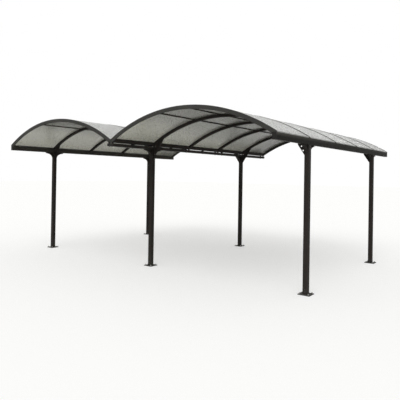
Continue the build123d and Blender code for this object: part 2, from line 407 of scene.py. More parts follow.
class CarportStage(bpy.types.PropertyGroup):
    """Camera, floor and light."""

    camera_place: FloatVectorProperty(
        name="Camera",
        description="Place of the camera",
        default=(5.5657, -7.3110, 1.6403),
        subtype="TRANSLATION",
        size=3,
    )
    camera_yaw: FloatProperty(
        name="Yaw",
        description="Turn of the view to the left of +Y",
        default=math.radians(37.12),
        subtype="ANGLE",
    )
    camera_pitch: FloatProperty(
        name="Pitch",
        description="Rise of the view above level",
        default=math.radians(0.325),
        subtype="ANGLE",
    )
    camera_roll: FloatProperty(
        name="Roll",
        description="Lean of the camera",
        default=math.radians(0.90),
        subtype="ANGLE",
    )
    focal_share: FloatProperty(
        name="Focal share",
        description="Focal length as a share of the image's width",
        default=1.1004,
    )
    shift_shares: FloatVectorProperty(
        name="Shift",
        description="Shift of the image, as shares of its width",
        default=(-0.0086, -0.0670),
        size=2,
    )
    floor_colour: FloatVectorProperty(
        name="Floor",
        description="Pale floor",
        default=(0.55, 0.55, 0.54),
        subtype="COLOR",
        size=3,
    )
    floor_glow_share: FloatProperty(
        name="Floor glow",
        description="Share of plain white that the camera sees in the floor",
        default=0.46,
        subtype="FACTOR",
    )
    sky_light: FloatProperty(
        name="Sky light",
        description="Level of the even light from all round",
        default=0.75,
    )
    sun_light: FloatProperty(
        name="Sun light",
        description="Level of the soft key light",
        default=0.9,
    )


def sizes():
    """Sizes as set in the panel."""
    return bpy.context.scene.carport_sizes


def colours():
    """Colours as set in the panel."""
    return bpy.context.scene.carport_colours


class Vault:
    """Arc of one vault: its centre line and the lean of its two edges."""

    def __init__(self, name):
        size = sizes()
        low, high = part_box(f"{name}_front_arch")
        strip_low, strip_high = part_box(f"{name}_cover_strips")
        half_span = (high.x - low.x) / 2
        self.side = VAULTS[name]
        self.middle = (high.x + low.x) / 2
        self.seat_radius = (half_span**2 + size.arch_rise**2) / (2 * size.arch_rise)
        self.strip_top = self.seat_radius + strip_stack()
        self.axis_height = strip_high.z - self.strip_top
        self.sheet_top = self.seat_radius + size.sheet_seat + size.sheet_thickness
        self.first_lean = math.asin((strip_low.x - self.middle) / self.strip_top)
        self.last_lean = math.asin((strip_high.x - self.middle) / self.strip_top)

    def place(self, lean, radius, y):
        """Matrix at a point of the arc, with +X along it and +Z away from the centre."""
        turn = Matrix.Rotation(lean, 4, "Y")
        centre = Matrix.Translation((self.middle, y, self.axis_height))
        return centre @ turn @ Matrix.Translation((0, 0, radius))


def strip_stack():
    """Height of a cover strip's top above the seat of the sheets."""
    size = sizes()
    slot = size.sheet_seat + size.sheet_thickness + size.strip_gap
    return slot + size.strip_height


def middle_y(node):
    """Middle of a node along the vaults."""
    low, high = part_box(node)
    return (low.y + high.y) / 2


def bay_lengths(name, play):
    """Start and end along Y of each bay of a vault, short of the arches by a play."""
    for first, second in zip(ARCHES, ARCHES[1:]):
        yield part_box(f"{name}_{first}")[1].y + play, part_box(f"{name}_{second}")[0].y - play


# Small helpers for modelling


def start_model():
    """Clear the selection before a new primitive is added."""
    bpy.ops.object.select_all(action="DESELECT")


def select_edges(obj, keep):
    """Enter edit mode with the edges selected whose two ends pass a test."""
    bpy.ops.object.mode_set(mode="EDIT")
    bpy.ops.mesh.select_mode(type="EDGE")
    bpy.ops.mesh.select_all(action="DESELECT")
    bpy.ops.object.mode_set(mode="OBJECT")
    points = [vertex.co for vertex in obj.data.vertices]
    for edge in obj.data.edges:
        edge.select = all(keep(points[index]) for index in edge.vertices)
    bpy.ops.object.mode_set(mode="EDIT")


def select_faces(obj, keep):
    """Enter edit mode with the faces selected that pass a test of centre and normal."""
    bpy.ops.object.mode_set(mode="EDIT")
    bpy.ops.mesh.select_mode(type="FACE")
    bpy.ops.mesh.select_all(action="DESELECT")
    bpy.ops.object.mode_set(mode="OBJECT")
    for face in obj.data.polygons:
        face.select = keep(face.center, face.normal)
    bpy.ops.object.mode_set(mode="EDIT")


def leave_edit():
    """Go back to object mode."""
    bpy.ops.object.mode_set(mode="OBJECT")


def apply_place(obj):
    """Put an object's place into its mesh."""
    start_model()
    obj.select_set(True)
    bpy.context.view_layer.objects.active = obj
    bpy.ops.object.transform_apply(location=True, rotation=True, scale=True)


def join(parts, name):
    """Join objects into one, with its place in its mesh."""
    start_model()
    for part in parts:
        part.select_set(True)
    bpy.context.view_layer.objects.active = parts[0]
    if len(parts) > 1:
        bpy.ops.object.join()
    piece = bpy.context.object
    piece.name = name
    piece.data.name = name
    apply_place(piece)
    return piece


def set_copies(model, places, name):
    """Copy a modelled shape to each place and join the copies into one piece."""
    parts = []
    for place in places:
        part = model.copy()
        part.data = model.data.copy()
        part.matrix_world = place
        bpy.context.collection.objects.link(part)
        parts.append(part)
    bpy.context.view_layer.update()
    return join(parts, name)


def drop(model):
    """Remove the model that copies were made from."""
    bpy.data.objects.remove(model)


def smooth(obj, angle=SMOOTH_ANGLE):
    """Shade smoothly, with sharp edges kept."""
    start_model()
    obj.select_set(True)
    bpy.context.view_layer.objects.active = obj
    bpy.ops.object.shade_smooth_by_angle(angle=angle)


def bevelled_disc(sides, radius, depth, base, bevel, steps=2):
    """Upright disc or prism on a base height, with its upper rim bevelled."""
    start_model()
    bpy.ops.mesh.primitive_cylinder_add(
        vertices=sides, radius=radius, depth=depth, location=(0, 0, base + depth / 2)
    )
    disc = bpy.context.object
    apply_place(disc)
    top = base + depth
    select_edges(disc, lambda point: point.z > top - NEAR)
    bpy.ops.mesh.bevel(offset=bevel, segments=steps, affect="EDGES")
    leave_edit()
    return disc


def paint(obj, material):
    """Give an object one material all over."""
    if obj.material_slots:
        for slot in obj.material_slots:
            slot.material = material
    else:
        obj.data.materials.append(material)


def fit(piece, material):
    """Finish a new piece: its material and its body."""
    paint(piece, material)
    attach(piece, "root")


# Materials


class NodeSheet:
    """Node tree of a new material, with its shader and short ways to add nodes."""

    def __init__(self, name):
        self.material = bpy.data.materials.new(name)
        self.material.use_nodes = True
        self.tree = self.material.node_tree
        self.shader = self.tree.nodes["Principled BSDF"]
        self.coords = self.add("ShaderNodeTexCoord").outputs["Object"]

    def add(self, kind, **settings):
        """Add a node and set its own settings."""
        node = self.tree.nodes.new(kind)
        for key, value in settings.items():
            setattr(node, key, value)
        return node

    def link(self, source, target):
        """Link an output to an input."""
        self.tree.links.new(source, target)

    def mapped(self, scale):
        """Object coordinates, scaled along X, Y and Z."""
        mapping = self.add("ShaderNodeMapping")
        mapping.inputs["Scale"].default_value = scale
        self.link(self.coords, mapping.inputs["Vector"])
        return mapping.outputs["Vector"]

    def noise(self, scale, detail=3.0, roughness=0.5, vector=None):
        """Noise in object space."""
        node = self.add("ShaderNodeTexNoise")
        node.inputs["Scale"].default_value = scale
        node.inputs["Detail"].default_value = detail
        node.inputs["Roughness"].default_value = roughness
        self.link(vector or self.coords, node.inputs["Vector"])
        return node.outputs["Fac"]

    def ranged(self, value, low, high, to_low=0, to_high=1):
        """Map a value from one range to another, kept within it."""
        node = self.add("ShaderNodeMapRange")
        node.inputs["From Min"].default_value = low
        node.inputs["From Max"].default_value = high
        node.inputs["To Min"].default_value = to_low
        node.inputs["To Max"].default_value = to_high
        self.link(value, node.inputs["Value"])
        return node.outputs["Result"]

    def times(self, first, second):
        """Product of two values."""
        node = self.add("ShaderNodeMath", operation="MULTIPLY")
        self.link(first, node.inputs[0])
        self.link(second, node.inputs[1])
        return node.outputs["Value"]

    def size_of(self, value):
        """A value without its sign."""
        node = self.add("ShaderNodeMath", operation="ABSOLUTE")
        self.link(value, node.inputs[0])
        return node.outputs["Value"]

    def mix(self, share, first, second):
        """Mix of two colours, each a colour or an output."""
        node = self.add("ShaderNodeMix", data_type="RGBA")
        self.link(share, node.inputs["Factor"])
        for value, index in zip((first, second), MIX_COLOUR_INPUTS):
            if isinstance(value, bpy.types.NodeSocket):
                self.link(value, node.inputs[index])
            else:
                node.inputs[index].default_value = (*value, 1)
        return node.outputs[MIX_COLOUR_OUTPUT]

    def bump(self, height, distance, strength):
        """Bump from a height."""
        node = self.add("ShaderNodeBump")
        node.inputs["Distance"].default_value = distance
        node.inputs["Strength"].default_value = strength
        self.link(height, node.inputs["Height"])
        return node.outputs["Normal"]

    def facing(self, axis):
        """How far the surface faces along X, Y or Z."""
        node = self.add("ShaderNodeSeparateXYZ")
        self.link(self.coords.node.outputs["Normal"], node.inputs["Vector"])
        return node.outputs[axis]

    def along(self, axis):
        """Place of a point along X, Y or Z in metres."""
        node = self.add("ShaderNodeSeparateXYZ")
        self.link(self.coords, node.inputs["Vector"])
        return node.outputs[axis]


# Bands of noise that several finishes use
NOISE_BAND = (0.3, 0.7)
PATCH_BAND = (0.35, 0.7)

# Powder coat
COAT_SHARES = (0.86, 1.16)
COAT_ROUGHNESS = (0.54, 0.68)
COAT_GLOSS = 0.05
STREAK_SCALE = (26, 26, 1.1)
STREAK_BAND = (0.52, 0.78)
STREAK_SHARE = 0.12
SPLASH_HEIGHT = 0.32
POST_SPLASH_SHARE = 0.5
FOOT_SPLASH_SHARE = 0.55
# Outer eave faces: painted shade, and a painted highlight along their upper edge that fades to the
# rear.
OUTER_SKIN = (0.006, 0.001)
OUTER_PAINTED_LIGHT_SHARE = 0.9
REAR_PAINTED_LIGHT_SHARE = 0.2

# Roof sheets, with painted light and shade in their tint
CLOUD_BAND = (0.3, 0.72)
FRONT_TONE_SHARES = (1.03, 1.10)
REAR_SHADE_SHARES = (0.42, 0.47)
LEFT_SHADE_SHARE = 0.35
SHADE_BLEND_REACH = 0.5
VALLEY_REACH = (0.05, 0.65)
VALLEY_FRONT_LIGHT_SHARE = 1.65
VALLEY_REAR_LIGHT_SHARE = 0.72
CROWN_RISE_SHARES = (0.62, 0.94)
CROWN_SHADE_SHARE = 0.36
CROWN_COVER_SHARE = 0.8
FLANK_RISE_SHARES = (0.12, 0.60)
FLANK_SHADE_SHARE = 0.24
FLANK_COVER_SHARE = 0.8
BACK_REACH = 0.5
BACK_SHADE_SHARE = 0.22
BACK_COVER_SHARE = 0.85
FILM_AND_SHEEN_SHARES = (0.97, 1.03)
FILM_AND_SHEEN_FACING = (0.1, 0.5)
MARK_SCALE = (1.2, 9.0, 1.2)
MARK_BAND = (0.54, 0.80)
MARK_COVER_SHARE = 0.14
SILT_HEIGHT = 0.07
SILT_COVER_SHARE = 0.5
SHEET_ROUGHNESS = (0.24, 0.34)
SHEET_IOR = 1.35
SHEET_TRANSMISSION = 0.85

# Moulded plastic and rubber
MOULDED_SHARES = (0.8, 1.25)
MOULDED_ROUGHNESS = 0.55
RUBBER_ROUGHNESS = 0.62
ROUGHNESS_SPREAD = 0.07
MOULDED_GLOSS = 0.12

# Plated steel
STEEL_SHARES = (0.72, 1.1)
STEEL_ROUGHNESS = (0.34, 0.5)
STEEL_METALLIC = 0.9
SPANGLE_BAND = (0.35, 0.65)
TARNISH_BAND = (0.55, 0.75)
TARNISH_COVER_SHARE = 0.55
TARNISH = (0.16, 0.11, 0.07)


def shade(colour, share):
    """A colour made lighter or darker."""
    return tuple(channel * share for channel in colour)


def shades(colour, shares):
    """A darker and a lighter shade of a colour."""
    return [shade(colour, share) for share in shares]


def painted_outer_shade(sheet, coat, outer):
    """Painted shade on the outer faces of the eave beams, a darker copy of the coat, with a painted
    highlight in the dust_and_highlight colour along their upper edge in front.
    """
    low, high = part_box("right_eave_beam")
    skin_low, skin_high = (high.x - depth for depth in OUTER_SKIN)
    outside = sheet.ranged(sheet.size_of(sheet.along("X")), skin_low, skin_high)
    painted_lighter = sheet.ranged(sheet.along("Z"), (low.z + high.z) / 2, high.z, 0, OUTER_PAINTED_LIGHT_SHARE)
    to_rear = sheet.ranged(sheet.along("Y"), low.y, (low.y + high.y) / 2, 1, REAR_PAINTED_LIGHT_SHARE)
    face = sheet.mix(sheet.times(painted_lighter, to_rear), outer, tuple(colours().dust_and_highlight))
    return sheet.mix(outside, coat, face)


def powder_coat(name, colour, splash_share=0, outer=None):
    """Matt powder coat: faint tone, fine orange peel, rain streaks and settled dirt; given an outer
    colour, painted shade and a painted highlight on the outer eave faces.
    """
    sheet = NodeSheet(name)
    dust_and_highlight = tuple(colours().dust_and_highlight)
    tone = sheet.ranged(sheet.noise(scale=2.3, detail=4), *NOISE_BAND)
    coat = sheet.mix(tone, *shades(colour, COAT_SHARES))
    streak = sheet.noise(scale=1.0, detail=5, roughness=0.6, vector=sheet.mapped(STREAK_SCALE))
    coat = sheet.mix(sheet.ranged(streak, *STREAK_BAND, 0, STREAK_SHARE), coat, dust_and_highlight)
    if splash_share:
        low_down = sheet.ranged(sheet.along("Z"), 0, SPLASH_HEIGHT, splash_share, 0)
        patchy = sheet.ranged(sheet.noise(scale=38, detail=5, roughness=0.65), *PATCH_BAND)
        coat = sheet.mix(sheet.times(low_down, patchy), coat, dust_and_highlight)
    # Painted shade and painted highlight on the outer eave faces.
    if outer:
        coat = painted_outer_shade(sheet, coat, outer)
    sheet.link(coat, sheet.shader.inputs["Base Color"])
    worn = sheet.ranged(sheet.noise(scale=46, detail=3), *NOISE_BAND, *COAT_ROUGHNESS)
    sheet.link(worn, sheet.shader.inputs["Roughness"])
    peel = sheet.noise(scale=420, detail=2, roughness=0.45)
    sheet.link(sheet.bump(peel, distance=0.00012, strength=0.5), sheet.shader.inputs["Normal"])
    sheet.shader.inputs["Specular IOR Level"].default_value = COAT_GLOSS
    return sheet.material


def roof_tint_with_painted_light(sheet, colour, cloud):
    """Smoky tint of the sheets with painted light and shade: lighter along the valley, darker to the
    rear (more on the right vault), over the crown, and up the flanks of the rear bays.
    """
    front, rear = (corner.y for corner in cad_box)
    low_edge, crest = (corner.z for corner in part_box("left_roof_sheet_1"))
    rise = crest - low_edge
    last_bay = middle_y("left_rib_4")
    # Painted light: the sheets are lighter near the valley, where the other vault shades them.
    valley = sheet.ranged(sheet.size_of(sheet.along("X")), *VALLEY_REACH, 1, 0)
    front_tone = sheet.mix(cloud, *shades(colour, FRONT_TONE_SHARES))
    front_tone = sheet.mix(valley, front_tone, shade(colour, VALLEY_FRONT_LIGHT_SHARE))
    rear_shade_tone = sheet.mix(cloud, *shades(colour, REAR_SHADE_SHARES))
    rear_shade_tone = sheet.mix(valley, rear_shade_tone, shade(colour, VALLEY_REAR_LIGHT_SHARE))
    # Painted shade: darker to the rear, more on the right vault than on the left.
    to_rear = sheet.ranged(sheet.along("Y"), front, rear)
    to_right = sheet.ranged(sheet.along("X"), -SHADE_BLEND_REACH, SHADE_BLEND_REACH, LEFT_SHADE_SHARE, 1)
    rear_shade_share = sheet.times(to_rear, to_right)
    tint = sheet.mix(rear_shade_share, front_tone, rear_shade_tone)
    # Painted shade over the crown.
    crown_low, crown_high = (low_edge + share * rise for share in CROWN_RISE_SHARES)
    crown = sheet.ranged(sheet.along("Z"), crown_low, crown_high, 0, CROWN_COVER_SHARE)
    tint = sheet.mix(crown, tint, shade(colour, CROWN_SHADE_SHARE))
    # Painted shade up the flanks, stronger to the rear.
    flank_low, flank_high = (low_edge + share * rise for share in FLANK_RISE_SHARES)
    flank = sheet.ranged(sheet.along("Z"), flank_low, flank_high, 0, FLANK_COVER_SHARE)
    tint = sheet.mix(sheet.times(flank, rear_shade_share), tint, shade(colour, FLANK_SHADE_SHARE))
    # Painted shade over the last bay.
    back = sheet.ranged(sheet.along("Y"), last_bay, last_bay + BACK_REACH, 0, BACK_COVER_SHARE)
    return sheet.mix(back, tint, shade(colour, BACK_SHADE_SHARE))


def roof_sheet_painted_light(name, colour):
    """Smoky polycarbonate with painted light and shade, a pale top that is partly a dirt layer and
    partly a painted sky reflection, rain marks, and silt at its low edges.
    """
    sheet = NodeSheet(name)
    silt = tuple(colours().silt)
    film_and_sheen = tuple(colours().film_and_sheen)
    low_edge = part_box("left_roof_sheet_1")[0].z
    cloud = sheet.ranged(sheet.noise(scale=1.4, detail=5, roughness=0.6), *CLOUD_BAND)
    tint = roof_tint_with_painted_light(sheet, colour, cloud)
    # Pale top: partly a dirt layer, partly a painted sky reflection.
    upper = sheet.ranged(sheet.facing("Z"), *FILM_AND_SHEEN_FACING)
    tint = sheet.mix(upper, tint, sheet.mix(cloud, *shades(film_and_sheen, FILM_AND_SHEEN_SHARES)))
    marks = sheet.noise(scale=1.0, detail=6, roughness=0.62, vector=sheet.mapped(MARK_SCALE))
    tint = sheet.mix(sheet.ranged(marks, *MARK_BAND, 0, MARK_COVER_SHARE), tint, silt)
    low_down = sheet.ranged(sheet.along("Z"), low_edge, low_edge + SILT_HEIGHT, SILT_COVER_SHARE, 0)
    patchy = sheet.ranged(sheet.noise(scale=30, detail=5, roughness=0.65), *PATCH_BAND)
    tint = sheet.mix(sheet.times(low_down, patchy), tint, silt)
    sheet.link(tint, sheet.shader.inputs["Base Color"])
    wear = sheet.ranged(sheet.noise(scale=60, detail=3), *NOISE_BAND, *SHEET_ROUGHNESS)
    sheet.link(wear, sheet.shader.inputs["Roughness"])
    waves = sheet.noise(scale=5.0, detail=1)
    sheet.link(sheet.bump(waves, distance=0.0015, strength=0.25), sheet.shader.inputs["Normal"])
    sheet.shader.inputs["IOR"].default_value = SHEET_IOR
    sheet.shader.inputs["Transmission Weight"].default_value = SHEET_TRANSMISSION
    return sheet.material


def moulded_finish(name, colour, roughness=MOULDED_ROUGHNESS):
    """Moulded plastic or rubber with a fine grain."""
    sheet = NodeSheet(name)
    tone = sheet.ranged(sheet.noise(scale=9, detail=4), *NOISE_BAND)
    sheet.link(sheet.mix(tone, *shades(colour, MOULDED_SHARES)), sheet.shader.inputs["Base Color"])
    grain = sheet.noise(scale=700, detail=2)
    sheet.link(sheet.bump(grain, distance=0.0001, strength=0.5), sheet.shader.inputs["Normal"])
    spread = (roughness - ROUGHNESS_SPREAD, roughness + ROUGHNESS_SPREAD)
    worn = sheet.ranged(sheet.noise(scale=80, detail=3), *NOISE_BAND, *spread)
    sheet.link(worn, sheet.shader.inputs["Roughness"])
    sheet.shader.inputs["Specular IOR Level"].default_value = MOULDED_GLOSS
    return sheet.material


def plated_steel(name, colour):
    """Zinc-plated steel with a dull mottle and brown tarnish."""
    sheet = NodeSheet(name)
    spangle = sheet.ranged(sheet.noise(scale=240, detail=3), *SPANGLE_BAND)
    plate = sheet.mix(spangle, *shades(colour, STEEL_SHARES))
    tarnish = sheet.noise(scale=70, detail=5, roughness=0.7)
    plate = sheet.mix(sheet.ranged(tarnish, *TARNISH_BAND, 0, TARNISH_COVER_SHARE), plate, TARNISH)
    sheet.link(plate, sheet.shader.inputs["Base Color"])
    sheet.link(sheet.ranged(spangle, 0, 1, *STEEL_ROUGHNESS), sheet.shader.inputs["Roughness"])
    sheet.link(sheet.bump(spangle, distance=0.00006, strength=0.4), sheet.shader.inputs["Normal"])
    sheet.shader.inputs["Metallic"].default_value = STEEL_METALLIC
    return sheet.material


def finish_named(name, make, *details):
    """A material by name, made the first time that it is asked for."""
    known = bpy.data.materials.get(name)
    return known or make(name, *details)


def frame_coat():
    """Dark bronze coat of the frame."""
    return finish_named("frame_bronze_coat", powder_coat, tuple(colours().coat))


def rubber():
    """Black rubber of the strip seals."""
    return finish_named("black_rubber", moulded_finish, tuple(colours().rubber), RUBBER_ROUGHNESS)


def sheet_with_painted_light():
    """Smoky sheet of the roof and of the trims along its valley edges, with painted light and shade."""
    return finish_named("smoky_roof_sheet", roof_sheet_painted_light, tuple(colours().sheet))


def eave_trim():
    """Pale grey plastic of the trims along the eaves."""
    return finish_named("pale_eave_trim", moulded_finish, tuple(colours().trim))


def moulded_cap():
    """Dark moulded plastic of caps and plugs."""
    return finish_named("moulded_cap", moulded_finish, tuple(colours().cap))


# Operators


class CARPORT_OT_frame_coats(bpy.types.Operator):
    """Coat the posts, feet, heads, beams, arches, purlins and caps"""

    bl_idname = "carport.frame_coats"
    bl_label = "Frame coats"

    def execute(self, context):
        paints = colours()
        post_coat = powder_coat("post_bronze_coat", tuple(paints.coat), POST_SPLASH_SHARE)
        foot_coat = powder_coat("foot_plate_coat", tuple(paints.foot_coat), FOOT_SPLASH_SHARE)
        arch_coat = powder_coat("end_arch_coat", tuple(paints.arch_coat))
        # Eave beams: inner faces painted lighter, outer faces painted darker, with a painted highlight
        # along their upper edge.
        outer = tuple(paints.eave_outer_painted_shade)
        eave_coat = powder_coat("eave_beam_coat_painted_light", tuple(paints.eave_inner_painted_light), outer=outer)
        for name, node in frame["nodes"].items():
            if "roof_sheet" in name:
                continue
            if name.endswith("_post"):
                paint(node, post_coat)
            elif name.endswith("_foot"):
                paint(node, foot_coat)
            elif name.endswith(("front_arch", "rear_arch")):
                paint(node, arch_coat)
            elif name.endswith("_eave_beam"):
                paint(node, eave_coat)
            elif name == "end_caps":
                paint(node, moulded_cap())
            else:
                paint(node, frame_coat())
        return {"FINISHED"}


class CARPORT_OT_roof_sheets(bpy.types.Operator):
    """Give the roof sheets their smoky tint, with painted light and shade"""

    bl_idname = "carport.roof_sheets"
    bl_label = "Roof sheets"

    def execute(self, context):
        for name, node in frame["nodes"].items():
            if "roof_sheet" in name:
                paint(node, sheet_with_painted_light())
        return {"FINISHED"}


class CARPORT_OT_anchors(bpy.types.Operator):
    """Fit a stud, washer and nut in each hole of the foot plates"""

    bl_idname = "carport.anchors"
    bl_label = "Ground anchors"

    def anchor(self):
        """Model of an anchor: a washer, a nut on it and the stud's end above them."""
        stud = sizes().anchor_diameter
        washer = {key: share * stud for key, share in WASHER_SHARES.items()}
        nut = {key: share * stud for key, share in NUT_SHARES.items()}
        end = {key: share * stud for key, share in STUD_SHARES.items()}
        nut_top = washer["depth"] + nut["depth"]
        parts = [
            bevelled_disc(ROUND_SIDES, base=0, **washer),
            bevelled_disc(HEXAGON, base=washer["depth"], **nut),
            bevelled_disc(SMALL_ROUND_SIDES, base=nut_top - NEAR, **end),
        ]
        model = join(parts, "anchor_model")
        smooth(model)
        return model

    def execute(self, context):
        model = self.anchor()
        finish = plated_steel("zinc_plated_steel", tuple(colours().steel))
        plate_top = ANCHORS["pos_m"][2]
        reach_x = ANCHORS["dims"]["spacing_x_mm"] * MM / 2
        reach_y = ANCHORS["dims"]["spacing_y_mm"] * MM / 2
        for row, end in POSTS:
            low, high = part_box(f"{row}_{end}_foot")
            centre = (low + high) / 2
            places = []
            for across, along in CORNERS:
                hole = (centre.x + across * reach_x, centre.y + along * reach_y, plate_top)
                turn = NUT_TURN_ACROSS * across + NUT_TURN_ALONG * along
                places.append(Matrix.Translation(hole) @ Matrix.Rotation(turn, 4, "Z"))
            fit(set_copies(model, places, f"{row}_{end}_anchors"), finish)
        drop(model)
        return {"FINISHED"}


def flange_screw(flange, hexagon, name):
    """Model of a screw with a hexagon head on a round flange, standing up at the origin."""
    depth = FLANGE_DEPTH_SHARE * hexagon
    head_depth = HEAD_DEPTH_SHARE * hexagon
    base = bevelled_disc(FLANGE_SIDES, flange / 2, depth, 0, FLANGE_BEVEL_SHARE * depth)
    head = bevelled_disc(HEXAGON, hexagon / math.sqrt(3), head_depth, depth, HEAD_BEVEL_SHARE * hexagon)
    model = join([base, head], name)
    smooth(model)
    return model


class CARPORT_OT_post_screws(bpy.types.Operator):
    """Fix each post to the stubs of its foot and head with screws"""

    bl_idname = "carport.post_screws"
    bl_label = "Post screws"

    def foot_places(self, low, high):
        """Places of the screws low down in the front and rear faces of a post."""
        groove = sizes().post_groove
        middle = (low.x + high.x) / 2
        for height in FOOT_SCREW_HEIGHTS:
            for face, way in ((low.y + groove, 1), (high.y - groove, -1)):
                spot = Matrix.Translation((middle, face, low.z + height))
                yield spot @ Matrix.Rotation(way * QUARTER_TURN, 4, "X")

    def head_places(self, low, high, side):
        """Places of the screws high up in the outer face of a post."""
        face = (high.x if side > 0 else low.x) - side * sizes().post_groove
        for fall in HEAD_SCREW_DROPS:
            spot = Matrix.Translation((face, (low.y + high.y) / 2, high.z - fall))
            yield spot @ Matrix.Rotation(side * QUARTER_TURN, 4, "Y")

    def execute(self, context):
        model = flange_screw(*POST_SCREW, "post_screw_model")
        worn = powder_coat("worn_screw_coat", tuple(colours().screw))
        for row, end in POSTS:
            low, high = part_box(f"{row}_{end}_post")
            places = list(self.foot_places(low, high))
            if row in VAULTS:
                places += self.head_places(low, high, VAULTS[row])
            fit(set_copies(model, places, f"{row}_{end}_post_screws"), worn)
        drop(model)
        return {"FINISHED"}


class CARPORT_OT_head_bolts(bpy.types.Operator):
    """Bolt the wings of each post head to the beam above it"""

    bl_idname = "carport.head_bolts"
    bl_label = "Head bolts"

    def execute(self, context):
        model = flange_screw(*HEAD_BOLT, "head_bolt_model")
        arm_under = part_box("left_front_post")[1].z
        for row, end in POSTS:
            low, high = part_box(f"{row}_{end}_post")
            wing_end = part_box(f"{row}_{end}_post_head")[1].y
            centre = (low + high) / 2
            reach = (wing_end - high.y) * HEAD_BOLT_REACH_SHARE + high.y - centre.y
            places = []
            for across, along in CORNERS:
                spot = (centre.x + across * HEAD_BOLT_OFFSET, centre.y + along * reach, arm_under)
                places.append(Matrix.Translation(spot) @ UPSIDE_DOWN)
            fit(set_copies(model, places, f"{row}_{end}_head_bolts"), frame_coat())
        drop(model)
        return {"FINISHED"}


class CARPORT_OT_knee_plugs(bpy.types.Operator):
    """Press moulded plugs into the holes of the knee plates, all but one pair"""

    bl_idname = "carport.knee_plugs"
    bl_label = "Knee plugs"

    def cap(self, base, radius):
        """Round cap on a base height, with a dished top."""
        cap = bevelled_disc(ROUND_SIDES, radius, PLUG_CAP_DEPTH, base, PLUG_CAP_BEVEL)
        top = base + PLUG_CAP_DEPTH
        select_faces(
            cap, lambda centre, normal: normal.z > FACES_STRAIGHT and centre.z > top - NEAR
        )
        bpy.ops.mesh.inset(thickness=PLUG_DISH_RIM)
        bpy.ops.mesh.extrude_region_move(TRANSFORM_OT_translate={"value": (0, 0, -PLUG_DISH_DEPTH)})
        leave_edit()
        return cap

    def plug(self):
        """Plug along Z: a core as deep as the plate, with a dished cap on each face."""
        size = sizes()
        radius = size.knee_hole / 2
        half = size.knee_thickness / 2
        core = bevelled_disc(
            ROUND_SIDES, radius - PLUG_PLAY, size.knee_thickness, -half, PLUG_EDGE, steps=1
        )
        upper = self.cap(half, radius + PLUG_CAP_LIP)
        lower = self.cap(half, radius + PLUG_CAP_LIP)
        lower.matrix_world = UPSIDE_DOWN
        bpy.context.view_layer.update()
        model = join([core, upper, lower], "knee_plug_model")
        smooth(model)
        return model

    def execute(self, context):
        size = sizes()
        model = self.plug()
        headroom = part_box("left_eave_beam")[0].z
        forward = Matrix.Rotation(QUARTER_TURN, 4, "X")
        for row, end in POSTS:
            if (row, end) == OPEN_KNEE:
                continue
            ways = (-VAULTS[row],) if row in VAULTS else (-1, 1)
            low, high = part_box(f"{row}_{end}_post")
            knee_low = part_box(f"{row}_{end}_post_head")[0].z
            centre = (low + high) / 2
            face = (high.x - low.x) / 2 + size.knee_clearance
            places = []
            for way in ways:
                for share in KNEE_HOLE_SHARES:
                    across = face + KNEE_HOLE_WIDTH_SHARE * share * size.knee_width
                    height = knee_low + share * (headroom - knee_low)
                    spot = Matrix.Translation((centre.x + way * across, centre.y, height))
                    places.append(spot @ forward)
            fit(set_copies(model, places, f"{row}_{end}_knee_plugs"), moulded_cap())
        drop(model)
        return {"FINISHED"}


class CARPORT_OT_rail_bolts(bpy.types.Operator):
    """Bolt the valley rail to its spacers from below"""

    bl_idname = "carport.rail_bolts"
    bl_label = "Rail bolts"

    def spots(self):
        """Places of the spacers across and along the valley, clear of the post heads."""
        size = sizes()
        first, last = (corner.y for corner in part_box("valley_spacers"))
        start, stop = (corner.y for corner in cad_box)
        posts = [middle_y(f"middle_{end}_post") for end in ENDS]
        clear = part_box("middle_front_post_head")[1].y - posts[0]
        stations = [first + size.spacer_length / 2, last - size.spacer_length / 2]
        stations += [middle_y(f"left_{rib}") for rib in RIBS]
        spots = [(0, start + share * (stop - start)) for share in BAY_SPACER_SHARES]
        for station in stations:
            if min(abs(station - post) for post in posts) > clear:
                spots += [(-size.spacer_offset, station), (size.spacer_offset, station)]
        return spots

    def execute(self, context):
        model = flange_screw(*RAIL_BOLT, "rail_bolt_model")
        rail_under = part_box("valley_rail")[0].z
        places = [Matrix.Translation((x, y, rail_under)) @ UPSIDE_DOWN for x, y in self.spots()]
        fit(set_copies(model, places, "valley_rail_bolts"), frame_coat())
        drop(model)
        return {"FINISHED"}


class CARPORT_OT_ridge_purlins(bpy.types.Operator):
    """Set a slim purlin under the crown of each vault, in lengths between the arches"""

    bl_idname = "carport.ridge_purlins"
    bl_label = "Ridge purlins"

    def bar(self, length):
        """Bar along Y at the origin, with rounded edges and a groove along its underside."""
        size = sizes()
        start_model()
        bpy.ops.mesh.primitive_cube_add(size=1)
        bar = bpy.context.object
        bar.scale = (size.ridge_width, length, size.ridge_height)
        apply_place(bar)
        select_faces(bar, lambda centre, normal: normal.z < -FACES_STRAIGHT)
        bpy.ops.mesh.inset(thickness=size.ridge_width * RIDGE_RIM_SHARE)
        bpy.ops.mesh.extrude_region_move(TRANSFORM_OT_translate={"value": (0, 0, size.ridge_groove)})
        leave_edit()
        select_edges(bar, lambda point: abs(point.x) > size.ridge_width / 2 - NEAR)
        bpy.ops.mesh.bevel(offset=size.ridge_width * RIDGE_BEVEL_SHARE, segments=2, affect="EDGES")
        leave_edit()
        return bar

    def execute(self, context):
        size = sizes()
        for name in VAULTS:
            vault = Vault(name)
            height = vault.axis_height + vault.seat_radius - size.ridge_height / 2
            bars = []
            for start, stop in bay_lengths(name, size.ridge_clearance):
                bar = self.bar(stop - start)
                bar.location = (vault.middle, (start + stop) / 2, height)
                bars.append(bar)
            piece = join(bars, f"{name}_ridge_purlins")
            smooth(piece)
            fit(piece, frame_coat())
        return {"FINISHED"}


